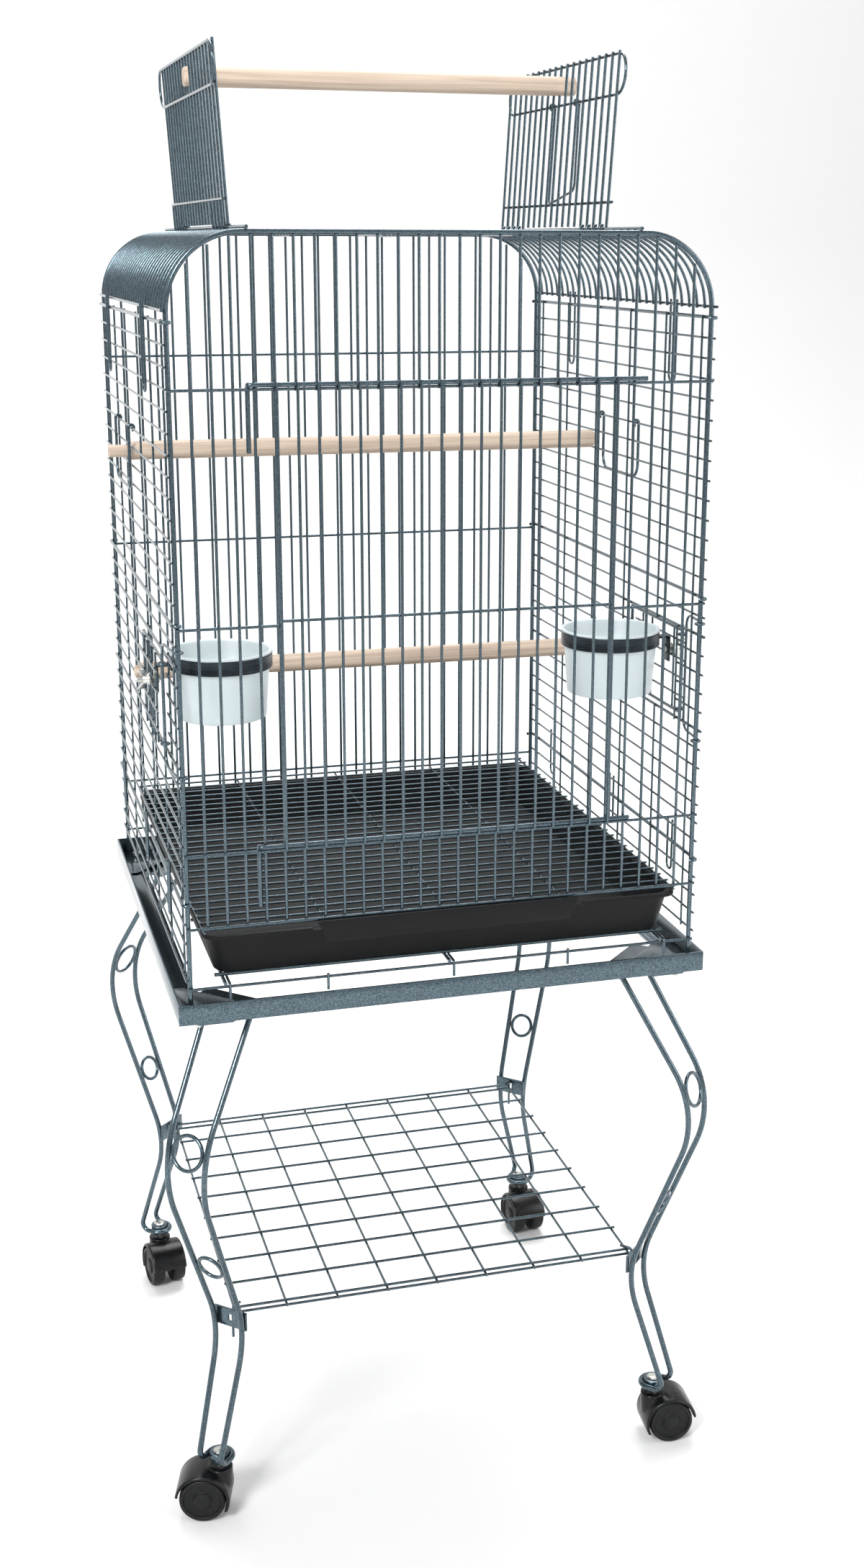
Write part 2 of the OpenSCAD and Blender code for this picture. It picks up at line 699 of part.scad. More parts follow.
// A bent wire latch that hangs on the right door's lower loop wire.
module top_latch() {
    eye = bar_d / 2 + run + 1.2;
    face = bar_d + weld + eye;
    hang = top_door_h - loop_gap;
    y0 = -2.5 * pitch_y;
    y1 = 1.5 * pitch_y;
    color(silver) lean_right() {
        for (y = [y0, y1])
            translate([bar_d + weld, y, hang]) rotate([90, 0, 0]) rotate([0, 0, 0.5])
                rotate_extrude(angle = 250) translate([eye, 0]) circle(d = 2.4);
        bent_wire(2.4, [[face, y1, hang], [face, y1, hang - 97],
                        [face, y0 - 3, hang - 84], [face, y0, hang]], [5, 9]);
    }
}

// A dowel with slotted ends that grip the middle wires of both top doors.
module top_perch() {
    z = top_rail_z + (top_door_h - loop_gap / 2) * cos(top_lean);
    grip = top_hinge_x + (top_door_h - loop_gap / 2) * sin(top_lean);
    color(wood) difference() {
        wire_x(perch_d, -grip - 4, grip + 15, 0, z);
        translate([grip - 14, -2.6, z - 20]) cube([40, 5.2, 40]);
        translate([-grip - 20, -2.6, z - 20]) cube([23, 5.2, 40]);
    }
}

// A dowel between the side panels, with a thinner end through each of them.
module inside_perch(y, z, left) {
    inner = row_x - grid_d / 2 - 0.2;
    color(wood) {
        wire_x(perch_d, -inner, inner, y, z);
        wire_x(side_pitch - grid_d - 4, inner - 2, inner + 6, y, z);
        wire_x(side_pitch - grid_d - 4, -inner - left, -inner + 2, y, z);
    }
}

module upper_perch() { inside_perch(near_post + 13, row_z(7.5), 20); }
module lower_perch() { inside_perch(near_post - 17, row_z(19.5), 6); }

// ---------- feeding ----------

cup_r = cup_d / 2;
cup_x = hw - cup_r - 5;
band_h = 14;
band_top = cup_z - 2.5 - weld;
nut_z = row_z(18) + side_pitch * 0.3;
door_grid_x = feeder_x + 1.6 + grid_d / 2 + weld;

// The right feeder door; it hangs on its front wire and carries the cup's ring.
module feeder_door() {
    low = row_z(21) + 3.4;
    high = row_z(16) - 3.4;
    far = feeder_y1 + 5;
    wire_z(3.2, low - 4, high + 4, feeder_x, feeder_y0);
    wire_z(3.2, low, high, feeder_x, far);
    for (z = [low + 1.6, high - 1.6])
        wire_y(3.2, feeder_y0 + 1.6 + weld, far - 1.6 - weld, feeder_x, z);
    for (y = [feeder_y0 + 28, feeder_y0 + 58, feeder_y0 + 88, feeder_y0 + 114])
        wire_z(grid_d, low, high, door_grid_x, y);
    for (k = cut_rows)
        wire_y(grid_d, feeder_y0 + 5, far + 1, door_grid_x + grid_d + weld, row_z(k));
}

// A wire loop that turns on the front post.
module feeder_latch() {
    wire = 2.6;
    eye = post_d / 2 + run + wire / 2;
    top = row_z(15.3);
    low = row_z(21.5);
    for (z = [low, top])
        translate([hw, -hd, z]) rotate([0, 0, 72])
            rotate_extrude(angle = 288) translate([eye, 0]) circle(d = wire);
    bent_wire(wire, [[hw + eye, -hd + 0.2, top], [feeder_x + 0.6, -hd + 51, top],
                     [feeder_x + 0.6, -hd + 51, low], [hw + eye, -hd + 0.2, low]], [12, 12]);
}

module cup() {
    wall = 2;
    taper = 5;
    translate([cup_x, -cup_y, cup_z - cup_h]) difference() {
        union() {
            cylinder(r1 = cup_r - 1 - taper, r2 = cup_r - 1, h = cup_h);
            translate([0, 0, cup_h - 2.5]) cylinder(r = cup_r + 1.5, h = 2.5);
        }
        translate([0, 0, wall])
            cylinder(r1 = cup_r - 1 - taper - wall, r2 = cup_r - 1 - wall, h = cup_h - wall + 0.01);
    }
}

// A flat band round the cup, with an arm, a clamp plate and a bolt through the door.
module cup_ring() {
    translate([0, 0, band_top - band_h]) {
        difference() {
            union() {
                translate([cup_x, -cup_y, 0]) cylinder(r = cup_r + 1.2, h = band_h);
                translate([cup_x + cup_r - 2, -cup_y - 6, 3]) cube([feeder_x + 2.4 - cup_x - cup_r, 12, 2.5]);
            }
            translate([cup_x, -cup_y, -1]) cylinder(r = cup_r - 1 + run, h = band_h + 2);
        }
    }
    translate([feeder_x - 0.5, -cup_y - 9, nut_z - 12]) cube([2, 18, band_top - nut_z + 4]);
    wire_x(5, feeder_x - 3.5, feeder_x + 21, -cup_y, nut_z);
}

module wing_nut() {
    start = door_grid_x + grid_d * 1.5 + 0.6;
    translate([start, -cup_y, nut_z]) rotate([0, 90, 0]) difference() {
        union() {
            cylinder(d = 12, h = 1.2);
            translate([0, 0, 1]) cylinder(d1 = 11, d2 = 8, h = 6);
            for (side = [0, 180]) rotate([0, 0, side + 30]) translate([0, 1.1, 0]) rotate([90, 0, 0])
                linear_extrude(2.2) polygon([[2, 2], [7, 3], [13, 9], [13.5, 13], [11, 14], [3.4, 7]]);
        }
        translate([0, 0, -1]) cylinder(d = 5.1, h = 20);
    }
}

module feeder_door_right() { color(silver) feeder_door(); }
module feeder_door_left() { color(silver) mirror([1, 0, 0]) feeder_door(); }
module feeder_latch_right() { color(silver) feeder_latch(); }
module feeder_latch_left() { color(silver) mirror([1, 0, 0]) feeder_latch(); }
module cup_right() { color("#c3cdd0") cup(); }
module cup_left() { color("#c3cdd0") mirror([1, 0, 0]) cup(); }
module cup_ring_right() { color("#3a3d42") cup_ring(); }
module cup_ring_left() { color("#3a3d42") mirror([1, 0, 0]) cup_ring(); }
module wing_nut_right() { color("#c9ced1") wing_nut(); }
module wing_nut_left() { color("#c9ced1") mirror([1, 0, 0]) wing_nut(); }

// ---------- handles and clips ----------

// A bail handle that hangs on a side panel's row wire.
module handle(y0, y1, drop) {
    wire = 3;
    eye = grid_d / 2 + run + wire / 2;
    z = row_z(6);
    for (y = [y0, y1])
        translate([row_x, y, z]) rotate([90, 0, 0]) rotate([0, 0, 0.5])
            rotate_extrude(angle = 260) translate([eye, 0]) circle(d = wire);
    bent_wire(wire, [[row_x + eye, y0, z], [row_x + eye, y0, z - drop], [row_x + eye, y1, z - drop],
                     [row_x + eye, y1, z]], [14, 14]);
}

module handle_right() { color(silver) handle(-66, 38, 57); }
module handle_left() { color(silver) mirror([1, 0, 0]) handle(10, 128, 62); }

// Wire clips round the side panels' top and bottom rails.
module panel_clips() {
    x = rail_x + rail_d / 2 + 1.2 + weld;
    color(silver) for (sx = [0, 1]) mirror([sx, 0, 0]) {
        for (y = [-150, 150])
            bent_wire(2.4, [[x, y - 8, side_top_z + 14], [x, y - 8, side_top_z - 66],
                            [x, y + 8, side_top_z - 66], [x, y + 8, side_top_z + 14]], [7.9, 7.9]);
        for (y = [-185, -12, 194])
            bent_wire(2.4, [[x, y - 6, row_z(28) + 21], [x, y - 6, row_z(28) - 34],
                            [x, y + 6, row_z(28) - 34], [x, y + 6, row_z(28) + 21]], [5.9, 5.9]);
    }
}

stand_frame();
corner_plates();
corner_bolts();
leg_front_left();
leg_front_right();
leg_back_left();
leg_back_right();
leg_rings();
shelf_brackets();
caster_bushes();
shelf();
caster_hood_fl();
caster_hood_fr();
caster_hood_bl();
caster_hood_br();
caster_stem_fl();
caster_stem_fr();
caster_stem_bl();
caster_stem_br();
caster_wheels_fl();
caster_wheels_fr();
caster_wheels_bl();
caster_wheels_br();
base_frame();
tray();
grate();
front_panel();
back_panel();
left_panel();
right_panel();
left_shoulder();
right_shoulder();
roof();
front_door();
top_door_left();
top_door_right();
top_latch();
top_perch();
upper_perch();
lower_perch();
feeder_door_left();
feeder_door_right();
feeder_latch_left();
feeder_latch_right();
cup_left();
cup_right();
cup_ring_left();
cup_ring_right();
wing_nut_left();
wing_nut_right();
handle_left();
handle_right();
panel_clips();
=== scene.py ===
import bpy, bmesh, math
from mathutils import Matrix, Vector


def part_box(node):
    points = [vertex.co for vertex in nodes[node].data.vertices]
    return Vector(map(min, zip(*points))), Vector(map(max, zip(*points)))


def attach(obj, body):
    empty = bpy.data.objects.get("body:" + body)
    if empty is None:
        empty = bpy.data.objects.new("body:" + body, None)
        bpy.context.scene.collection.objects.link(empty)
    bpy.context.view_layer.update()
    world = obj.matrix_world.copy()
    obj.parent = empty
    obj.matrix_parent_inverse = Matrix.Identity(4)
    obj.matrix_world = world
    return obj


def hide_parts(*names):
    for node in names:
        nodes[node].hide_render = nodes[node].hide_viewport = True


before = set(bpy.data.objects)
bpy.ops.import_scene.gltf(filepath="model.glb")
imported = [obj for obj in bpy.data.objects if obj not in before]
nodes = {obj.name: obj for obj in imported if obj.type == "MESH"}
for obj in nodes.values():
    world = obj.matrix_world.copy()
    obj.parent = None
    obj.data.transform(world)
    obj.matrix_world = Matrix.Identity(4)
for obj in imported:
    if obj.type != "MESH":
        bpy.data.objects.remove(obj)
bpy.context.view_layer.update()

# ---------------------------------------------------------------- view
# The cage seen from the front left and a little above the roof, standing on the floor.
eye = (-0.47075, -1.92213, 1.27276)
yaw, pitch, roll = 0.281, -0.267, 0.003
ahead = Vector((math.sin(yaw) * math.cos(pitch), math.cos(yaw) * math.cos(pitch), math.sin(pitch)))
aside = Vector((math.cos(yaw), -math.sin(yaw), 0))
above = aside.cross(ahead)
side_axis = aside * math.cos(roll) + above * math.sin(roll)
up_axis = above * math.cos(roll) - aside * math.sin(roll)
lens = bpy.data.cameras.new("view")
lens.sensor_width = 36
lens.lens = 43.10
lens.shift_x = -0.0166
lens.shift_y = -0.0176
lens.clip_end = 60
camera = bpy.data.objects.new("view", lens)
bpy.context.scene.collection.objects.link(camera)
turn = Matrix((side_axis, up_axis, -ahead)).transposed().to_4x4()
camera.matrix_world = Matrix.Translation(eye) @ turn
bpy.context.scene.camera = camera

# ---------------------------------------------------------------- studio
# A pale painted sweep: floor and wall in one sheet with a large bend between them.
# It is part of the studio and not of the cage.


def linear(hex_colour, alpha=1.0):
    """An sRGB hex colour as the linear values that a shader takes."""
    parts = [int(hex_colour[i:i + 2], 16) / 255 for i in (1, 3, 5)]
    return [p / 12.92 if p <= 0.04045 else ((p + 0.055) / 1.055) ** 2.4 for p in parts] + [alpha]


def add(tree, kind, settings=None, **links):
    """Adds a node; settings go on its properties or sockets, and links join other nodes' outputs to it."""
    node = tree.nodes.new(kind)
    for key, value in (settings or {}).items():
        if key in node.inputs:
            node.inputs[key].default_value = value
        else:
            setattr(node, key, value)
    for key, output in links.items():
        tree.links.new(output, node.inputs[key.replace("_", " ")])
    return node


def new_material(name):
    """A material whose node tree is still empty."""
    material = bpy.data.materials.new(name)
    material.use_nodes = True
    material.node_tree.nodes.clear()
    return material, material.node_tree


def deselect():
    bpy.ops.object.select_all(action="DESELECT")


def apply_place():
    """Puts the place, turn and scale of what is selected into its mesh."""
    bpy.ops.object.transform_apply(location=True, rotation=True, scale=True)


deselect()
sweep_material, tree = new_material("matt_studio_paint")
paper = add(tree, "ShaderNodeBsdfPrincipled", {"Base Color": linear("#fafafa"), "Roughness": 0.9,
                                               "Specular IOR Level": 0.1})
add(tree, "ShaderNodeOutputMaterial", Surface=paper.outputs[0])
sweep_width, sweep_depth, wall_height, wall_bend = 16, 12, 8, 2.5
wall_line = sweep_depth / 2 - 0.1
bpy.ops.mesh.primitive_plane_add(size=1, location=(0, 0, 0))
sweep = bpy.context.object
sweep.name = "studio_sweep"
sweep.scale = (sweep_width, sweep_depth, 1)
apply_place()
bpy.ops.object.mode_set(mode="EDIT")
bpy.ops.mesh.select_mode(type="EDGE")
edit = bmesh.from_edit_mesh(sweep.data)
for edge in edit.edges:
    edge.select_set(all(v.co.y > wall_line for v in edge.verts))
bmesh.update_edit_mesh(sweep.data)
bpy.ops.mesh.extrude_region_move(TRANSFORM_OT_translate={"value": (0, 0, wall_height)})
edit = bmesh.from_edit_mesh(sweep.data)
for edge in edit.edges:
    edge.select_set(all(v.co.y > wall_line and v.co.z < 0.1 for v in edge.verts))
bmesh.update_edit_mesh(sweep.data)
bpy.ops.mesh.bevel(offset=wall_bend, segments=16)
bpy.ops.object.mode_set(mode="OBJECT")
bpy.ops.object.shade_smooth()
sweep.data.materials.append(sweep_material)

world = bpy.data.worlds.new("soft_room")
bpy.context.scene.world = world
world.use_nodes = True
world.node_tree.nodes["Background"].inputs["Color"].default_value = linear("#ffffff")
world.node_tree.nodes["Background"].inputs["Strength"].default_value = 1.3
bpy.context.scene.view_settings.view_transform = "Standard"


def soft_lamp(name, size, power, place, target):
    """A square soft box that faces a target."""
    lamp = bpy.data.lights.new(name, "AREA")
    lamp.shape = "SQUARE"
    lamp.size = size
    lamp.energy = power
    stand = bpy.data.objects.new(name, lamp)
    bpy.context.scene.collection.objects.link(stand)
    stand.location = place
    stand.rotation_euler = (Vector(target) - Vector(place)).to_track_quat("-Z", "Y").to_euler()


soft_lamp("key", 1.2, 170, (-2.4, -2.6, 3.2), (0, 0, 0.8))
soft_lamp("fill", 2.2, 60, (3.0, -1.8, 2.0), (0, 0, 0.8))
soft_lamp("top", 2.4, 120, (0.4, 1.6, 3.8), (0, 0, 0.7))
soft_lamp("backdrop", 3.0, 45, (0, 2.6, 3.4), (0, 6.0, 1.8))

# ---------------------------------------------------------------- wire
# Cage and stand wire: drawn steel, welded, then powder coated in a silver vein finish.
# The coat is dark silver with a fine mottle, a soft gloss and light where it is thin.


def two_tones(ramp, low_at, low_colour, high_at, high_colour):
    """Sets a colour ramp's two ends."""
    for stop, at, colour in zip(ramp.color_ramp.elements, (low_at, high_at), (low_colour, high_colour)):
        stop.position = at
        stop.color = linear(colour)


wire_material, tree = new_material("silver_vein_powder_coat")
place = add(tree, "ShaderNodeTexCoord")
mottle = add(tree, "ShaderNodeTexNoise", {"Scale": 900.0, "Detail": 3.0, "Roughness": 0.6},
             Vector=place.outputs["Object"])
tone = add(tree, "ShaderNodeValToRGB", Fac=mottle.outputs["Fac"])
two_tones(tone, 0.36, "#323e46", 0.68, "#667982")
grain = add(tree, "ShaderNodeTexNoise", {"Scale": 1500.0, "Detail": 2.0}, Vector=place.outputs["Object"])
relief = add(tree, "ShaderNodeBump", {"Strength": 0.2, "Distance": 0.0002}, Height=grain.outputs["Fac"])
coat = add(tree, "ShaderNodeBsdfPrincipled",
           {"Metallic": 0.85, "Roughness": 0.2, "Coat Weight": 0.3, "Coat Roughness": 0.15},
           Base_Color=tone.outputs["Color"], Normal=relief.outputs["Normal"])
add(tree, "ShaderNodeOutputMaterial", Surface=coat.outputs[0])
for node in nodes.values():
    node.data.materials.clear()
    node.data.materials.append(wire_material)

# ---------------------------------------------------------------- tray
# The tray is vacuum formed from black polypropylene sheet with a rolled rim, rounded corners
# and sloping sides. A stiff pull stands on its front rim, moulded in the same sheet.
tray_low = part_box("tray")[0][2]
tray_corner, tray_sheet = 0.016, 0.002
same_point = 0.000005
tray_floor = (0.225, -0.246, 0.235, tray_low + 0.0001)
tray_steps = [
    (0.2262, -0.2473, 0.2362, 0.0014), (0.2345, -0.2535, 0.2425, 0.0390), (0.2353, -0.2543, 0.2433, 0.0406),
    (0.2375, -0.2560, 0.2450, 0.0414), (0.2398, -0.2608, 0.2478, 0.0414), (0.2406, -0.2616, 0.2486, 0.0408),
    (0.2408, -0.2618, 0.2488, 0.0380),
]
tray_steps = [(x, front, back, tray_low + rise) for x, front, back, rise in tray_steps]


def only(piece):
    """Makes the piece the only one that is selected, and the active one."""
    deselect()
    piece.select_set(True)
    bpy.context.view_layer.objects.active = piece


def edit_on():
    bpy.ops.object.mode_set(mode="EDIT")


def edit_off():
    bpy.ops.object.mode_set(mode="OBJECT")


def pick(piece, chosen, kind="VERT"):
    """In edit mode, selects the vertices, edges or faces for which chosen says yes."""
    bpy.ops.mesh.select_mode(type=kind)
    bpy.ops.mesh.select_all(action="DESELECT")
    mesh = bmesh.from_edit_mesh(piece.data)
    for part in {"VERT": mesh.verts, "EDGE": mesh.edges, "FACE": mesh.faces}[kind]:
        if chosen(part):
            part.select_set(True)
    mesh.select_flush_mode()
    bmesh.update_edit_mesh(piece.data)


def finish_with(piece, kind, **settings):
    """Adds a modifier and applies it."""
    modifier = piece.modifiers.new(kind, kind)
    for key, value in settings.items():
        setattr(modifier, key, value)
    bpy.context.view_layer.objects.active = piece
    bpy.ops.object.modifier_apply(modifier=modifier.name)


def settle(piece):
    """Puts the piece's place into its mesh, joins doubled points and turns its faces outwards."""
    only(piece)
    apply_place()
    edit_on()
    bpy.ops.mesh.select_all(action="SELECT")
    bpy.ops.mesh.remove_doubles(threshold=same_point)
    bpy.ops.mesh.normals_make_consistent(inside=False)
    edit_off()


def soften(piece, radius, segments=2, angle=30):
    """Rounds the piece's edges and shades it smooth between them."""
    if radius:
        finish_with(piece, "BEVEL", width=radius, segments=segments, limit_method="ANGLE",
                    angle_limit=math.radians(angle), harden_normals=False, use_clamp_overlap=True)
    only(piece)
    bpy.ops.object.shade_smooth_by_angle(angle=math.radians(35))


def join(name, parts):
    deselect()
    for part in parts:
        part.select_set(True)
    bpy.context.view_layer.objects.active = parts[0]
    bpy.ops.object.join()
    parts[0].name = name
    return parts[0]


def give(piece, material, body, slot, *replaced):
    """Finishes a piece: its material, the body it rides on and the nodes it stands for; the slot is not
    used.
    """
    piece.data.materials.clear()
    piece.data.materials.append(material)
    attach(piece, body)
    if replaced:
        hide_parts(*replaced)


deselect()
bpy.ops.mesh.primitive_plane_add(size=1)
tray = bpy.context.object
tray.scale = (2 * tray_floor[0], tray_floor[2] - tray_floor[1], 1)
tray.location = (0, (tray_floor[1] + tray_floor[2]) / 2, tray_floor[3])
apply_place()
edit_on()
bpy.ops.mesh.select_all(action="SELECT")
bpy.ops.mesh.bevel(offset=tray_corner, segments=6, affect="VERTICES")
last = tray_floor
for step in tray_steps:
    pick(tray, lambda edge: edge.is_boundary, "EDGE")
    bpy.ops.mesh.extrude_edges_move()
    middle = (last[1] + last[2]) / 2
    bpy.ops.transform.resize(value=(step[0] / last[0], (step[2] - step[1]) / (last[2] - last[1]), 1),
                             center_override=(0, middle, last[3]))
    bpy.ops.transform.translate(value=(0, (step[1] + step[2]) / 2 - middle, step[3] - last[3]))
    last = step
bpy.ops.mesh.select_all(action="SELECT")
bpy.ops.mesh.normals_make_consistent(inside=False)
edit_off()
finish_with(tray, "SOLIDIFY", thickness=tray_sheet, offset=-1)
soften(tray, 0.0006, 2, 40)

pull_y, pull_foot, pull_rim, pull_top = -0.26775, tray_low + 0.028, tray_low + 0.039, tray_low + 0.050
pull_size, foot_share, top_share = (0.280, 0.0023, 0.0219), 0.872, 0.943
tongue_place, tongue_size = (0, -0.2635, pull_rim + 0.0013), (0.272, 0.0085, 0.0022)
bpy.ops.mesh.primitive_cube_add(size=1, location=(0, pull_y, pull_rim))
pull = bpy.context.object
pull.scale = pull_size
apply_place()
edit_on()
pick(pull, lambda v: v.co.z < pull_rim)
bpy.ops.transform.resize(value=(foot_share, 1, 1), center_override=(0, pull_y, pull_foot))
pick(pull, lambda v: v.co.z > pull_rim)
bpy.ops.transform.resize(value=(top_share, 1, 1), center_override=(0, pull_y, pull_top))
edit_off()
soften(pull, 0.0009, 3)
bpy.ops.mesh.primitive_cube_add(size=1, location=tongue_place)
tongue = bpy.context.object
tongue.scale = tongue_size
apply_place()
soften(tongue, 0.0006, 2)
tray = join("tray_moulding", [tray, pull, tongue])
settle(tray)
bpy.ops.object.shade_smooth_by_angle(angle=math.radians(35))

# Polypropylene sheet: near black, with a fine leather grain from the mould and a low gloss.
tray_plastic, tree = new_material("black_polypropylene_sheet")
place = add(tree, "ShaderNodeTexCoord")
grain = add(tree, "ShaderNodeTexVoronoi", {"Scale": 900.0}, Vector=place.outputs["Object"])
patches = add(tree, "ShaderNodeTexNoise", {"Scale": 9.0, "Detail": 4.0}, Vector=place.outputs["Object"])
gloss = add(tree, "ShaderNodeMapRange", {"To Min": 0.4, "To Max": 0.54}, Value=patches.outputs["Fac"])
relief = add(tree, "ShaderNodeBump", {"Strength": 0.3, "Distance": 0.0002},
             Height=grain.outputs["Distance"])
sheet = add(tree, "ShaderNodeBsdfPrincipled",
            {"Base Color": linear("#08090b"), "IOR": 1.49, "Specular IOR Level": 0.22},
            Roughness=gloss.outputs["Result"], Normal=relief.outputs["Normal"])
add(tree, "ShaderNodeOutputMaterial", Surface=sheet.outputs[0])
give(tray, tray_plastic, "tray", "black_plastic", "tray")

# ---------------------------------------------------------------- cups
# Round feeding cups, injection moulded in milky polypropylene, with a turned-over rim that
# rests on the ring. The wall is thin enough to let some light through.
cup_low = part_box("cup_left")[0][2]
cup_x, cup_y = 0.200, -0.157
cup_places = {"left": (-cup_x, cup_y, cup_low), "right": (cup_x, cup_y, cup_low)}
cup_profile = [
    (0.0395, 0.0010), (0.0415, 0.0), (0.0428, 0.0006), (0.0434, 0.0022), (0.0478, 0.0622),
    (0.0480, 0.0630), (0.0496, 0.0632), (0.0503, 0.0640), (0.0504, 0.0652), (0.0497, 0.0660),
    (0.0485, 0.0660), (0.0470, 0.0654), (0.0463, 0.0640), (0.0418, 0.0040), (0.0408, 0.0026),
    (0.0385, 0.0021), (0.0, 0.0021),
]


def turned(name, profile, steps=64, hollow=False):
    """A piece turned about Z: a disc or a ring whose edge is drawn out along the profile."""
    pole = 0.00001
    deselect()
    bpy.ops.mesh.primitive_circle_add(vertices=steps, radius=profile[0][0], location=(0, 0, profile[0][1]),
                                      fill_type="NOTHING" if hollow else "NGON")
    piece = bpy.context.object
    piece.name = name
    apply_place()
    edit_on()
    bpy.ops.mesh.select_all(action="SELECT")
    if not hollow:
        pick(piece, lambda edge: True, "EDGE")
    at = profile[0]
    for point in profile[1:]:
        bpy.ops.mesh.extrude_edges_move()
        scale = max(point[0], pole) / at[0]
        bpy.ops.transform.resize(value=(scale, scale, 1), center_override=(0, 0, at[1]))
        bpy.ops.transform.translate(value=(0, 0, point[1] - at[1]))
        at = (max(point[0], pole), point[1])
    if at[0] <= pole:
        bpy.ops.mesh.merge(type="CENTER")
    bpy.ops.mesh.select_all(action="SELECT")
    bpy.ops.mesh.remove_doubles(threshold=same_point)
    bpy.ops.mesh.normals_make_consistent(inside=False)
    edit_off()
    bpy.ops.object.shade_smooth_by_angle(angle=math.radians(40))
    return piece


def copy_of(piece, name):
    twin = piece.copy()
    twin.data = piece.data.copy()
    twin.name = name
    bpy.context.scene.collection.objects.link(twin)
    return twin


# Milky polypropylene: pale blue grey, soft light inside the wall, a satin surface.
cup_plastic, tree = new_material("milky_polypropylene")
place = add(tree, "ShaderNodeTexCoord")
cloud = add(tree, "ShaderNodeTexNoise", {"Scale": 60.0, "Detail": 3.0}, Vector=place.outputs["Object"])
haze = add(tree, "ShaderNodeMapRange", {"To Min": 0.26, "To Max": 0.38}, Value=cloud.outputs["Fac"])
ripple = add(tree, "ShaderNodeBump", {"Strength": 0.08, "Distance": 0.0003}, Height=cloud.outputs["Fac"])
milk = add(tree, "ShaderNodeBsdfPrincipled",
           {"Base Color": linear("#dbe7ea"), "IOR": 1.49, "Transmission Weight": 0.22,
            "Subsurface Weight": 0.35, "Subsurface Scale": 0.006, "Subsurface Radius": (0.9, 1.0, 1.0)},
           Roughness=haze.outputs["Result"], Normal=ripple.outputs["Normal"])
add(tree, "ShaderNodeOutputMaterial", Surface=milk.outputs[0])
cup = turned("cup", cup_profile, 72)
for side, spot in cup_places.items():
    piece = copy_of(cup, "cup_moulding_" + side)
    piece.location = spot
    settle(piece)
    give(piece, cup_plastic, "cup_" + side, "cup_plastic", "cup_" + side)
bpy.data.objects.remove(cup)

# ---------------------------------------------------------------- cup rings
# A band of bright-dipped steel strip holds each cup. It is spot welded to an arm and a clamp plate,
# and a screw with rolled thread goes through the feeder door to the wing nut.
band_profile = [
    (0.04840, 0.0), (0.05000, 0.0), (0.05020, 0.0003), (0.05030, 0.0010), (0.05008, 0.0018),
    (0.05008, 0.0122), (0.05030, 0.0130), (0.05020, 0.0137), (0.05000, 0.0140), (0.04840, 0.0140),
    (0.04835, 0.0136),
    (0.04835, 0.0004), (0.04840, 0.0),
]
plate_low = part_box("cup_ring_right")[0][2]
band_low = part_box("cup_ring_right")[1][2] - 0.014
nut_height = plate_low + 0.012
screw_place = (0.25788, cup_y, nut_height)
screw_length = 0.0245


def block(name, low, high, radius, segments=2):
    """A sheet or bar piece between two corners with its edges rounded."""
    deselect()
    bpy.ops.mesh.primitive_cube_add(size=1, location=[(a + b) / 2 for a, b in zip(low, high)])
    piece = bpy.context.object
    piece.name = name
    piece.scale = [b - a for a, b in zip(low, high)]
    apply_place()
    soften(piece, radius, segments)
    return piece


def across(piece, place):
    """Turns a piece made along Z so that it lies along X from a place."""
    piece.rotation_euler = (0, math.radians(90), 0)
    piece.location = place
    settle(piece)


def mirrored(piece, name):
    """The same piece for the cage's other side."""
    twin = copy_of(piece, name)
    twin.scale = (-1, 1, 1)
    settle(twin)
    return twin


band = turned("band", band_profile, 96, True)
band.location = (cup_x, cup_y, band_low)
settle(band)
arm = block("arm", (0.2497, cup_y - 0.006, band_low + 0.0031),
            (0.2622, cup_y + 0.006, band_low + 0.0054), 0.0005)
plate = block("plate", (0.26088, cup_y - 0.009, plate_low),
              (0.26285, cup_y + 0.009, plate_low + 0.0266), 0.0006)
pitch = 0.0008
thread = [(0.0016, 0.0), (0.0021, 0.0005)]
for turn_number in range(int(screw_length / pitch) - 2):
    thread += [(0.0025, 0.0010 + turn_number * pitch), (0.0022, 0.0014 + turn_number * pitch)]
thread += [(0.0021, screw_length - 0.0006), (0.0016, screw_length), (0.0, screw_length)]
screw = turned("screw", thread, 20)
across(screw, screw_place)
head_profile = [(0.0020, 0.0), (0.0042, 0.0006), (0.0046, 0.0014), (0.0046, 0.0020), (0.0, 0.0020)]
head = turned("head", head_profile, 32)
across(head, (0.2588, cup_y, nut_height))

# Strip steel dipped to a dark bright finish: smooth, slightly brushed along its length.
band_metal, tree = new_material("dark_bright_steel_strip")
place = add(tree, "ShaderNodeTexCoord")
lines = add(tree, "ShaderNodeMapping", {"Scale": (20.0, 20.0, 2600.0)}, Vector=place.outputs["Object"])
brush = add(tree, "ShaderNodeTexNoise", {"Scale": 1.0, "Detail": 3.0}, Vector=lines.outputs["Vector"])
shade = add(tree, "ShaderNodeValToRGB", Fac=brush.outputs["Fac"])
two_tones(shade, 0.3, "#23282c", 0.7, "#3c444a")
polish = add(tree, "ShaderNodeMapRange", {"To Min": 0.2, "To Max": 0.34}, Value=brush.outputs["Fac"])
strip = add(tree, "ShaderNodeBsdfPrincipled", {"Metallic": 0.9}, Base_Color=shade.outputs["Color"],
            Roughness=polish.outputs["Result"])
add(tree, "ShaderNodeOutputMaterial", Surface=strip.outputs[0])
ring = join("cup_band_right", [band, arm, plate])
ring_left = mirrored(ring, "cup_band_left")
for side, piece in (("right", ring), ("left", ring_left)):
    give(piece, band_metal, "feeder_door_" + side, "band_metal", "cup_ring_" + side)

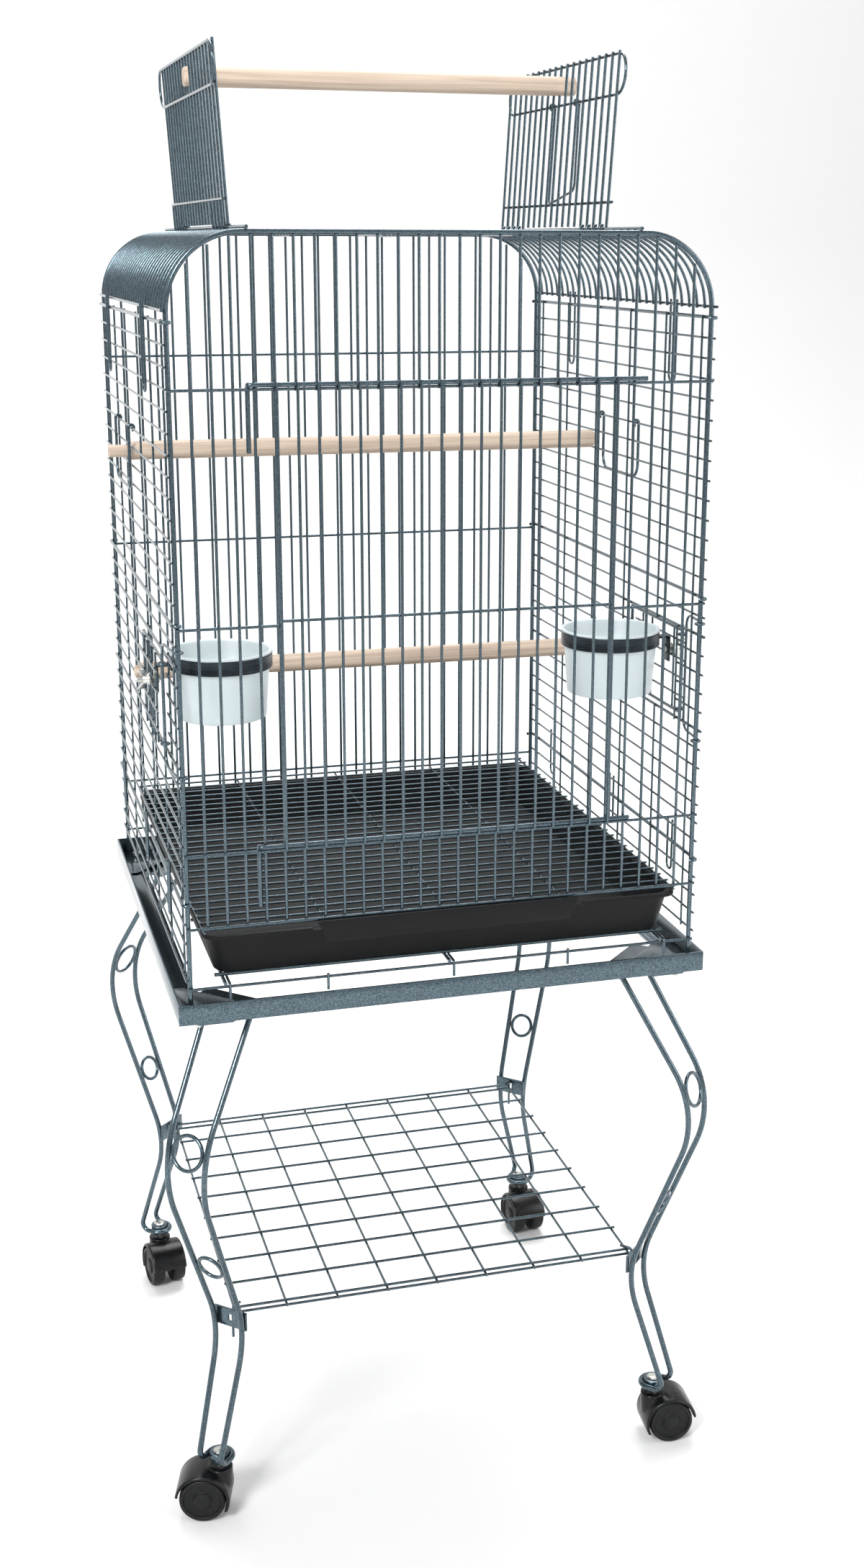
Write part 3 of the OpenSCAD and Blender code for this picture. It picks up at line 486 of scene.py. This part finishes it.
# The screw is steel in bright zinc plate: pale and warm, with a faint cloudiness in its gloss.
zinc, tree = new_material("bright_zinc_plate")
place = add(tree, "ShaderNodeTexCoord")
bloom = add(tree, "ShaderNodeTexNoise", {"Scale": 350.0, "Detail": 4.0}, Vector=place.outputs["Object"])
shade = add(tree, "ShaderNodeValToRGB", Fac=bloom.outputs["Fac"])
two_tones(shade, 0.3, "#aeb2b0", 0.7, "#dcdcd4")
polish = add(tree, "ShaderNodeMapRange", {"To Min": 0.2, "To Max": 0.38}, Value=bloom.outputs["Fac"])
plated = add(tree, "ShaderNodeBsdfPrincipled", {"Metallic": 1.0}, Base_Color=shade.outputs["Color"],
             Roughness=polish.outputs["Result"])
add(tree, "ShaderNodeOutputMaterial", Surface=plated.outputs[0])
bolt = join("cup_screw_right", [screw, head])
settle(bolt)
bolt_left = mirrored(bolt, "cup_screw_left")
for side, piece in (("right", bolt), ("left", bolt_left)):
    give(piece, zinc, "feeder_door_" + side, "zinc")

# ---------------------------------------------------------------- wing nuts
# The wing nuts are pressed from steel strip and zinc plated like the screws. Each is drawn up
# against the outside of its feeder door, and its two wings are turned by hand.
nut_profile = [
    (0.00262, 0.0), (0.0059, 0.0), (0.0060, 0.0003), (0.0060, 0.0010), (0.0058, 0.0012),
    (0.0050, 0.0014), (0.0045, 0.0030), (0.0040, 0.0064), (0.0037, 0.0070), (0.00275, 0.0070),
    (0.00262, 0.0067), (0.00262, 0.0),
]
nut_body = turned("nut", nut_profile, 32, True)
wings, wing_round = [], 0.0011
for facing in (30, 210):
    deselect()
    bpy.ops.mesh.primitive_cube_add(size=1, location=(0.0080, 0, 0.0075))
    wing = bpy.context.object
    wing.scale = (0.0100, 0.0024, 0.0105)
    apply_place()
    edit_on()
    pick(wing, lambda v: v.co.x < 0.005)
    bpy.ops.transform.resize(value=(1, 1, 0.5), center_override=(0.003, 0, 0.0035))
    pick(wing, lambda v: v.co.x > 0.005 and v.co.z < 0.006)
    bpy.ops.transform.translate(value=(-0.001, 0, 0.0035))
    edit_off()
    finish_with(wing, "BEVEL", width=wing_round, segments=3, limit_method="NONE")
    wing.rotation_euler = (0, 0, math.radians(facing))
    settle(wing)
    wings.append(wing)
nut = join("wing_nut_pressed_right", [nut_body] + wings)
across(nut, (0.26801, cup_y, nut_height))
bpy.ops.object.shade_smooth_by_angle(angle=math.radians(50))
nut_left = mirrored(nut, "wing_nut_pressed_left")
for side, piece in (("right", nut), ("left", nut_left)):
    give(piece, zinc, "wing_nut_" + side, "zinc", "wing_nut_" + side)

# ---------------------------------------------------------------- casters
# Twin-wheel furniture casters: a glossy black nylon hood over two wheels on a steel axle,
# with a plated stem that turns in the leg's bush.
caster_turns = {"fl": 164, "fr": -5, "bl": -80, "br": -85}
cx, cz = 0.017, 0.024  # the axle, forward of the stem and above the floor


def cutter(kind, low, high, turned_over=False):
    """A closed block or drum used to cut or add to a moulding."""
    deselect()
    size = [b - a for a, b in zip(low, high)]
    middle = [(a + b) / 2 for a, b in zip(low, high)]
    if kind == "block":
        bpy.ops.mesh.primitive_cube_add(size=1, location=middle)
        tool = bpy.context.object
        tool.scale = size
    else:
        radius = size[0] / 2
        depth = size[1] if turned_over else size[2]
        bpy.ops.mesh.primitive_cylinder_add(vertices=72, radius=radius, depth=depth, location=middle,
                                            rotation=(math.radians(90) if turned_over else 0, 0, 0))
        tool = bpy.context.object
    only(tool)
    apply_place()
    return tool


def carve(piece, tool, how="DIFFERENCE"):
    finish_with(piece, "BOOLEAN", object=tool, operation=how, solver="EXACT")
    bpy.data.objects.remove(tool)


hood_radius, hood_half = 0.0285, 0.0210
hood = cutter("drum", (cx - hood_radius, -hood_half, cz - hood_radius),
              (cx + hood_radius, hood_half, cz + hood_radius), True)
hood.name = "hood"
soften(hood, 0.0022, 4, 40)
boss_radius, boss_low, boss_high = 0.013, 0.030, 0.054
boss = cutter("drum", (-boss_radius, -boss_radius, boss_low), (boss_radius, boss_radius, boss_high))
soften(boss, 0.0014, 3, 40)
carve(hood, boss, "UNION")
web_half, wheel_room = 0.0045, 0.0256
for side in (-1, 1):
    near, far = sorted((side * web_half, side * 0.03))
    carve(hood, cutter("drum", (cx - wheel_room, near, cz - wheel_room),
                       (cx + wheel_room, far, cz + wheel_room), True))
carve(hood, cutter("block", (-0.03, -0.03, -0.02), (0.06, 0.03, 0.012)))
carve(hood, cutter("block", (0.019, -0.03, -0.02), (0.07, 0.03, 0.028)))
stem_room = 0.00405
carve(hood, cutter("drum", (-stem_room, -stem_room, 0.044), (stem_room, stem_room, 0.07)))
settle(hood)
soften(hood, 0.0005, 2, 40)

wheel_profile = [
    (0.0060, 0.0), (0.0205, 0.0), (0.0224, 0.0006), (0.0236, 0.0018), (0.0240, 0.0034),
    (0.0240, 0.0126), (0.0236, 0.0142), (0.0226, 0.0153), (0.0212, 0.0156), (0.0200, 0.0156),
    (0.0194, 0.0150), (0.0190, 0.0138), (0.0100, 0.0132), (0.0092, 0.0138), (0.0088, 0.0152),
    (0.0076, 0.0158), (0.0, 0.0160),
]
wheel = turned("wheel", wheel_profile, 64)
wheel.rotation_euler = (math.radians(-90), 0, 0)
wheel.location = (cx, 0.0051, cz)
settle(wheel)
wheel_far = copy_of(wheel, "wheel_far")
wheel_far.scale = (1, -1, 1)
settle(wheel_far)
axle_radius = 0.0025
axle = cutter("drum", (cx - axle_radius, -0.007, cz - axle_radius),
              (cx + axle_radius, 0.007, cz + axle_radius), True)
pair = join("wheels", [wheel, wheel_far, axle])
settle(pair)
bpy.ops.object.shade_smooth_by_angle(angle=math.radians(40))

stem_profile = [
    (0.0030, 0.0441), (0.0040, 0.0449), (0.0040, 0.0700), (0.0040, 0.07035), (0.0062, 0.07035),
    (0.0065, 0.0707), (0.0064, 0.0714), (0.0055, 0.0720), (0.0040, 0.07225), (0.0, 0.0723),
]
stem = turned("stem", stem_profile, 32)

# Moulded nylon: black, a soft gloss, faintly uneven.
nylon, tree = new_material("black_moulded_nylon")
place = add(tree, "ShaderNodeTexCoord")
cloud = add(tree, "ShaderNodeTexNoise", {"Scale": 140.0, "Detail": 4.0}, Vector=place.outputs["Object"])
gloss = add(tree, "ShaderNodeMapRange", {"To Min": 0.22, "To Max": 0.36}, Value=cloud.outputs["Fac"])
relief = add(tree, "ShaderNodeBump", {"Strength": 0.12, "Distance": 0.0002}, Height=cloud.outputs["Fac"])
moulded = add(tree, "ShaderNodeBsdfPrincipled",
              {"Base Color": linear("#08090b"), "IOR": 1.53, "Specular IOR Level": 0.3},
              Roughness=gloss.outputs["Result"], Normal=relief.outputs["Normal"])
add(tree, "ShaderNodeOutputMaterial", Surface=moulded.outputs[0])

# The tread is the same nylon, scuffed dull by the floor.
tread, tree = new_material("scuffed_black_nylon")
place = add(tree, "ShaderNodeTexCoord")
scuff = add(tree, "ShaderNodeTexNoise", {"Scale": 480.0, "Detail": 5.0}, Vector=place.outputs["Object"])
dust = add(tree, "ShaderNodeValToRGB", Fac=scuff.outputs["Fac"])
two_tones(dust, 0.45, "#0e0f10", 0.8, "#1f2021")
dull = add(tree, "ShaderNodeMapRange", {"To Min": 0.4, "To Max": 0.62}, Value=scuff.outputs["Fac"])
rolled = add(tree, "ShaderNodeBsdfPrincipled", {"IOR": 1.53, "Specular IOR Level": 0.25},
             Base_Color=dust.outputs["Color"], Roughness=dull.outputs["Result"])
add(tree, "ShaderNodeOutputMaterial", Surface=rolled.outputs[0])

for corner, degrees in caster_turns.items():
    low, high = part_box("caster_stem_" + corner)
    spot = ((low[0] + high[0]) / 2, (low[1] + high[1]) / 2, 0)
    for part, material, body, slot, node in (
            (hood, nylon, "caster_", "caster_black", "caster_hood_"),
            (stem, zinc, "caster_", "zinc", "caster_stem_"),
            (pair, tread, "wheels_", "wheel_black", "caster_wheels_")):
        piece = copy_of(part, "%s_%s" % (part.name, corner))
        piece.rotation_euler = (0, 0, math.radians(degrees))
        piece.location = spot
        only(piece)
        apply_place()
        give(piece, material, body + corner, slot, node + corner)
for part in (hood, stem, pair):
    bpy.data.objects.remove(part)

# ---------------------------------------------------------------- perches
# Turned pine dowels with broken edges. The top one has a sawn slot at each end, and those inside
# are turned down at the ends to pass through the panels.
dowel = 0.0095
broken_edge = 0.0012


def perch(name, ends):
    """A dowel along X from a profile of (radius, x)."""
    start = ends[0][1]
    piece = turned(name, [(r, x - start) for r, x in ends], 40)
    piece.rotation_euler = (0, math.radians(90), 0)
    piece.location = (start, 0, 0)
    return piece


top_low, top_high = -0.19464, 0.20564
top = perch("top_dowel", [
    (dowel - broken_edge, top_low), (dowel, top_low + broken_edge), (dowel, top_high - broken_edge),
    (dowel - broken_edge, top_high), (0.0, top_high)])
low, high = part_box("top_perch")
middle = (low[2] + high[2]) / 2
top.location.z = middle
settle(top)
saw_half = 0.0026
for cut_from, cut_to in ((0.17664, 0.22), (-0.22, -0.18764)):
    carve(top, cutter("block", (cut_from, -saw_half, middle - 0.02), (cut_to, saw_half, middle + 0.02)))
soften(top, 0.0004, 2, 40)


def panel_dowel(name, left):
    """A dowel between the side panels; its left spigot reaches out by left, its right one by 6 mm."""
    low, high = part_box(name)
    spigot, inner = 0.0064, 0.25623
    piece = perch(name + "_dowel", [
        (spigot - 0.001, -inner - left), (spigot, -inner - left + 0.001), (spigot, -inner - 0.0001),
        (dowel - 0.0008, -inner), (dowel, -inner + 0.0008), (dowel, inner - 0.0008),
        (dowel - 0.0008, inner), (spigot, inner + 0.0001), (spigot, inner + 0.005),
        (spigot - 0.001, inner + 0.006), (0.0, inner + 0.006)])
    piece.location.y = (low[1] + high[1]) / 2
    piece.location.z = (low[2] + high[2]) / 2
    settle(piece)
    return piece


upper = panel_dowel("upper_perch", 0.020)
lower = panel_dowel("lower_perch", 0.006)

# Pine: pale straw wood, grain along the dowel in fibres a millimetre or two apart, dry surface.
pine, tree = new_material("turned_pine")
place = add(tree, "ShaderNodeTexCoord")
along = add(tree, "ShaderNodeMapping", {"Scale": (6.0, 260.0, 260.0)}, Vector=place.outputs["Object"])
fibre = add(tree, "ShaderNodeTexNoise", {"Scale": 1.0, "Detail": 5.0, "Distortion": 0.6},
            Vector=along.outputs["Vector"])
tone = add(tree, "ShaderNodeValToRGB", Fac=fibre.outputs["Fac"])
two_tones(tone, 0.32, "#ab9889", 0.62, "#c8b7a5")
relief = add(tree, "ShaderNodeBump", {"Strength": 0.25, "Distance": 0.0003}, Height=fibre.outputs["Fac"])
dry = add(tree, "ShaderNodeBsdfPrincipled", {"Roughness": 0.62, "Specular IOR Level": 0.35},
          Base_Color=tone.outputs["Color"], Normal=relief.outputs["Normal"])
add(tree, "ShaderNodeOutputMaterial", Surface=dry.outputs[0])
give(top, pine, "top_perch", "dowel", "top_perch")
give(upper, pine, "cage", "dowel", "upper_perch")
give(lower, pine, "cage", "dowel", "lower_perch")

# ---------------------------------------------------------------- stand frame and plates
# Rolled angle, pressed plates and turned bushes, powder coated like the wire. Their edges are
# softened by the coat, so each is a copy of its solid with the edges rounded.
for node, radius, slot in (
        ("stand_frame", 0.0008, "silver_paint"), ("corner_plates", 0.0005, "silver_paint"),
        ("shelf_brackets", 0.0006, "silver_paint"), ("caster_bushes", 0.0005, "silver_paint"),
        ("corner_bolts", 0.0004, "zinc")):
    piece = nodes[node].copy()
    piece.data = nodes[node].data.copy()
    piece.name = node + "_rounded"
    bpy.context.scene.collection.objects.link(piece)
    piece.parent = None
    settle(piece)
    edit_on()
    bpy.ops.mesh.select_all(action="SELECT")
    bpy.ops.mesh.dissolve_limited(angle_limit=math.radians(1))
    edit_off()
    soften(piece, radius, 2, 40)
    give(piece, zinc if slot == "zinc" else wire_material, "cage", slot, node)
